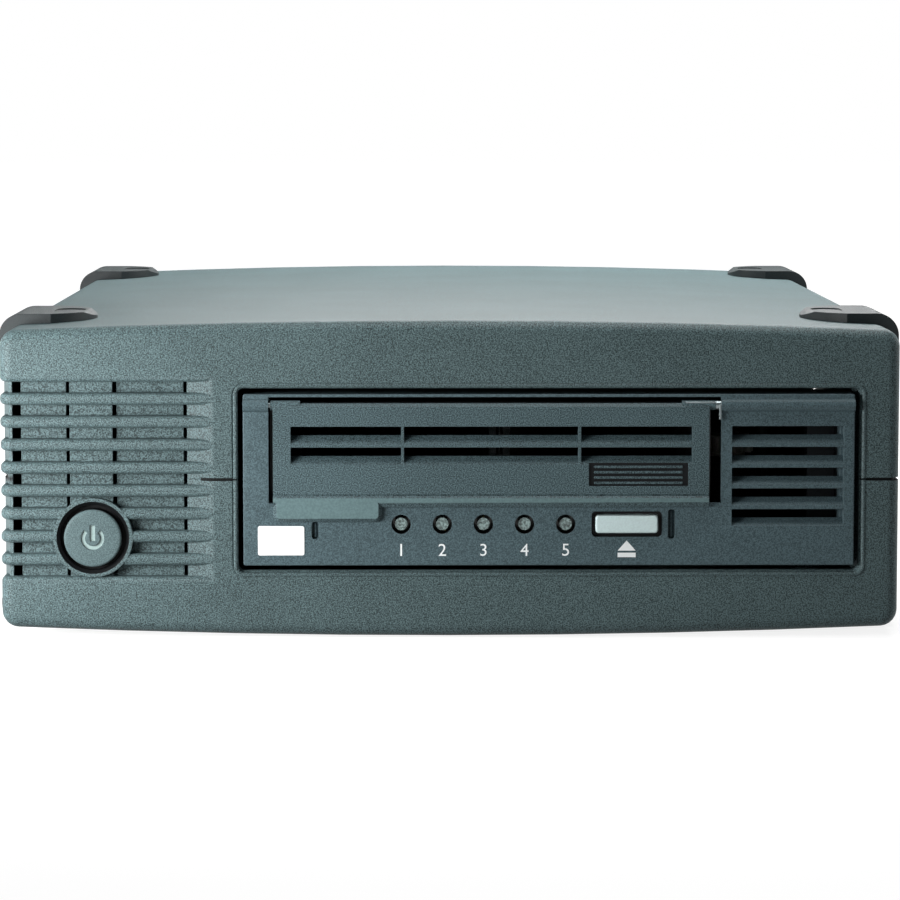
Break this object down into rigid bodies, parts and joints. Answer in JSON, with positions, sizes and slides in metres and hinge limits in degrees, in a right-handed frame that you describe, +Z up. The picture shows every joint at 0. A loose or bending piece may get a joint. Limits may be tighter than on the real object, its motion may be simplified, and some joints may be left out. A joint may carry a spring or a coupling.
{
  "type": "desktop data tape drive",
  "caption": "Half-height data tape drive in a crowned plastic desktop case, with a louvred air intake, a power button, a hinged cartridge door and moulded feet above and below.",
  "frame": {"origin": "on the ground, under the middle of the object's box", "axes": "+Z up, the front with the cartridge door faces -Y, +X to the right as seen from the front"},
  "size_m": [0.2232, 0.2884, 0.078],
  "materials": {
    "case_plastic": "fine spark-eroded grain",
    "bezel_plastic": "fine grain",
    "door_plastic": "fine grain",
    "button_plastic": "satin",
    "dark_plastic": "satin",
    "black_nylon": "satin",
    "white_nylon": "satin",
    "clear_lens": "clear moulded",
    "foot_rubber": "smooth",
    "sheet_steel": "zinc plated",
    "cast_alloy": "as cast",
    "extruded_alloy": "anodised",
    "screw_steel": "zinc plated",
    "pin_steel": "ground",
    "spring_steel": "drawn",
    "brass_pins": "bright",
    "board_green": "solder mask",
    "ferrite": "sintered",
    "can_sleeve": "shrink sleeve",
    "lead_jacket": "extruded",
    "head_ceramic": "lapped",
    "copper_coil": "enamelled wire"
  },
  "bodies": {
    "case": {"board_spacers": "brass_pins", "bottom_cover": "case_plastic", "bottom_feet": "foot_rubber", "case_screws": "screw_steel", "data_lead": "lead_jacket", "data_socket_contacts": "black_nylon", "data_socket_shell": "sheet_steel", "deck_pins": "pin_steel", "door_hinge_pins": "pin_steel", "door_spring": "spring_steel", "drive_bezel": "bezel_plastic", "drive_chassis": "cast_alloy", "drive_connector": "black_nylon", "drive_lid": "sheet_steel", "drive_screws": "screw_steel", "drive_supply_lead": "lead_jacket", "eject_switch": "black_nylon", "fan_frame": "black_nylon", "fan_guard": "pin_steel", "fan_screws": "screw_steel", "front_board": "board_green", "head_magnet": "sheet_steel", "indicator_lenses": "clear_lens", "inlet_pins": "brass_pins", "intake_baffle": "case_plastic", "interface_board": "board_green", "lid_screws": "screw_steel", "loader_motor": "sheet_steel", "main_board": "board_green", "mains_lead": "lead_jacket", "power_inlet": "black_nylon", "power_switch": "black_nylon", "rear_panel": "sheet_steel", "rear_panel_screws": "screw_steel", "supply_board": "board_green", "supply_capacitors": "can_sleeve", "supply_heatsink": "extruded_alloy", "supply_motor": "sheet_steel", "supply_transformer": "ferrite", "supply_tray": "sheet_steel", "take_up_motor": "sheet_steel", "top_cover": "case_plastic", "top_feet": "foot_rubber", "tray_rails": "white_nylon"},
    "door": {"cartridge_door": "door_plastic"},
    "eject": {"eject_button": "button_plastic"},
    "power": {"power_button": "case_plastic"},
    "fan": {"fan_rotor": "black_nylon"},
    "take_up": {"take_up_reel": "white_nylon", "leader_hook": "dark_plastic"},
    "clutch": {"supply_clutch": "white_nylon"},
    "roller_1": {"guide_roller_1": "extruded_alloy"},
    "roller_2": {"guide_roller_2": "extruded_alloy"},
    "roller_3": {"guide_roller_3": "extruded_alloy"},
    "roller_4": {"guide_roller_4": "extruded_alloy"},
    "head": {"head_carriage": "extruded_alloy", "tape_head": "head_ceramic", "head_coil": "copper_coil"},
    "tray": {"cartridge_tray": "sheet_steel"},
    "pinion": {"loader_pinion": "white_nylon"}
  },
  "joints": [
    {"name": "door_hinge", "type": "hinge", "parent": "case", "child": "door", "pos_m": [0.024, -0.14225, 0.0571], "axis": [-1, 0, 0], "range_deg": [0, 85], "stiffness_Nm_per_rad": 0.01, "springref_deg": -20.05, "deforming": ["door_spring"]},
    {"name": "eject_press", "type": "slide", "parent": "case", "child": "eject", "axis": [0, 1, 0], "range_m": [0, 0.0008], "stiffness_N_per_m": 800, "springref_m": -0.0005},
    {"name": "power_press", "type": "slide", "parent": "case", "child": "power", "axis": [0, 1, 0], "range_m": [0, 0.0016], "stiffness_N_per_m": 600, "springref_m": -0.0005},
    {"name": "fan_spin", "type": "hinge", "parent": "case", "child": "fan", "pos_m": [0.062, 0.12875, 0.039], "axis": [0, 1, 0], "continuous": true},
    {"name": "take_up_spin", "type": "hinge", "parent": "case", "child": "take_up", "pos_m": [0.015, 0.01775, 0.02], "axis": [0, 0, 1], "continuous": true},
    {"name": "clutch_spin", "type": "hinge", "parent": "case", "child": "clutch", "pos_m": [0.00995, -0.07775, 0.02], "axis": [0, 0, 1], "continuous": true},
    {"name": "roller_1_spin", "type": "hinge", "parent": "case", "child": "roller_1", "pos_m": [0.0775, -0.04325, 0.02], "axis": [0, 0, 1], "continuous": true},
    {"name": "roller_2_spin", "type": "hinge", "parent": "case", "child": "roller_2", "pos_m": [0.0865, -0.02725, 0.02], "axis": [0, 0, 1], "continuous": true},
    {"name": "roller_3_spin", "type": "hinge", "parent": "case", "child": "roller_3", "pos_m": [0.0865, 0.01875, 0.02], "axis": [0, 0, 1], "continuous": true},
    {"name": "roller_4_spin", "type": "hinge", "parent": "case", "child": "roller_4", "pos_m": [0.0685, 0.03675, 0.02], "axis": [0, 0, 1], "continuous": true},
    {"name": "head_shift", "type": "slide", "parent": "case", "child": "head", "axis": [0, 0, 1], "range_m": [-0.003, 0.003], "stiffness_N_per_m": 200},
    {"name": "tray_slide", "type": "slide", "parent": "case", "child": "tray", "axis": [0, 1, 0], "range_m": [0, 0.012]},
    {"name": "pinion_spin", "type": "hinge", "parent": "case", "child": "pinion", "pos_m": [0.07315, -0.07125, 0.02], "axis": [0, 0, 1], "range_deg": [-150, 5]}
  ],
  "couplings": [
    {"joint": "pinion_spin", "follows": "tray_slide", "rad_per_m": -166.67}
  ]
}
